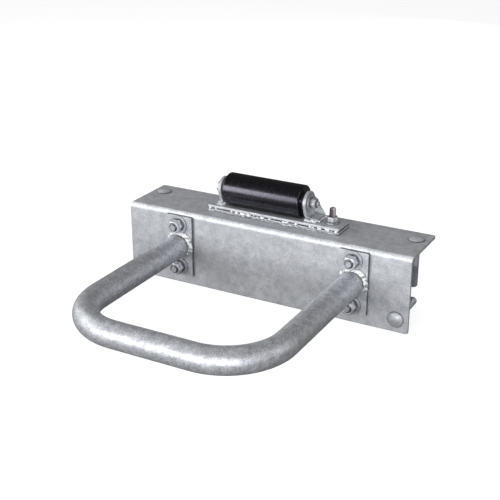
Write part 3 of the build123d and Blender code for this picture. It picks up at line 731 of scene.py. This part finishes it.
# Axle bolt and its washers, nut and spacers
# A half-inch bolt of galvanised steel goes through both ears and the roller's bushes, with a washer outside
# each ear, a spacer at each end of the roller and a nut at the right.
AXLE_Y = 0.05715
AXLE_Z = 0.05205
AXLE_RADIUS = 0.00635
AXLE_PITCH = 0.00195
AXLE_HEAD_FACE = -0.1231
AXLE_NUT_FACE = 0.0748
AXLE_END = 0.0909
SMALL_FLATS = 0.01905
SMALL_NUT_HEIGHT = 0.0111
SMALL_HEAD_HEIGHT = 0.0082
SMALL_WASHER_EASE = 0.0004
TOWARDS_RIGHT = Matrix.Rotation(math.radians(90), 4, "Y") @ Matrix.Rotation(math.radians(90), 4, "Z")
HALF_TURN = Matrix.Rotation(math.pi, 4, "Z")
along_axle = Matrix.Translation((0, AXLE_Y, AXLE_Z)) @ TOWARDS_RIGHT
shape = bmesh.new()
shank(shape, AXLE_RADIUS, AXLE_PITCH, AXLE_HEAD_FACE - IN_HEAD, AXLE_NUT_FACE, AXLE_END, along_axle)
hexagon(shape, SMALL_FLATS, SMALL_HEAD_HEIGHT,
        Matrix.Translation((AXLE_HEAD_FACE, AXLE_Y, AXLE_Z)) @ HALF_TURN @ TOWARDS_RIGHT)
place_piece(shape, "axle_bolt_threaded", zinc_small, ["axle_bolt"])
shape = bmesh.new()
hexagon(shape, SMALL_FLATS, SMALL_NUT_HEIGHT, along_axle, bore=AXLE_RADIUS, seat=AXLE_NUT_FACE)
place_piece(shape, "axle_nut_countersunk", zinc_small, ["axle_nut"])
for node in ("left_axle_washer", "right_axle_washer", "left_roller_spacer", "right_roller_spacer"):
    eased(node, zinc_small, SMALL_WASHER_EASE)

# Bolt through the right end of the strips
# A half-inch bolt put up from below, with a long threaded end above its washer and nut. Its zinc is older than
# the rest, with painted shade and a painted highlight on it.
BASE_BOLT_X = 0.1195
BASE_NUT_SEAT = 0.02145
BASE_BOLT_END = 0.05005
# Painted light and shade: the bolt is darkened where its normal turns away from this side, and a highlight is
# painted in one streak on it.
PAINTED_LIGHT_SIDE = (0.88, 0.48, 0)
PAINTED_SHADE_LEVEL = 0.08
PAINTED_LIT_LEVEL = 0.7
PAINTED_HIGHLIGHT_AT = 0.29
PAINTED_HIGHLIGHT = 3.0
PAINTED_HIGHLIGHT_PAST = 0.8

# Old galvanised steel: a dull brownish grey, with painted shade towards the front left and one painted
# highlight streak.
weathered_bolt_painted_light = galvanised("weathered_bolt_painted_light", "#BDB6BC", "#8E848B", cloud_mm=5, grain_mm=1.6, rough=0.34, metal=0.1,
                       crevice_painted_shade=0.2, crevice_shade_mm=4)
tone_along(weathered_bolt_painted_light, "Normal", PAINTED_LIGHT_SIDE, start=-0.9, stop=0.1, before=PAINTED_SHADE_LEVEL, after=PAINTED_LIT_LEVEL)
tone_along(weathered_bolt_painted_light, "Normal", PAINTED_LIGHT_SIDE, start=0.08, stop=0.24, before=PAINTED_HIGHLIGHT, after=PAINTED_HIGHLIGHT_PAST,
           centre=PAINTED_HIGHLIGHT_AT)
along_bolt = Matrix.Translation((BASE_BOLT_X, AXLE_Y, 0))
shape = bmesh.new()
shank(shape, AXLE_RADIUS, AXLE_PITCH, -IN_HEAD, BASE_NUT_SEAT, BASE_BOLT_END, along_bolt)
hexagon(shape, SMALL_FLATS, SMALL_HEAD_HEIGHT, along_bolt @ DOWNWARDS)
place_piece(shape, "base_bolt_threaded", weathered_bolt_painted_light, ["base_bolt"])
shape = bmesh.new()
hexagon(shape, SMALL_FLATS, SMALL_NUT_HEIGHT, along_bolt, bore=AXLE_RADIUS, seat=BASE_NUT_SEAT)
place_piece(shape, "base_nut_countersunk", zinc_small, ["base_nut"])
eased("base_washer", zinc_small, SMALL_WASHER_EASE)
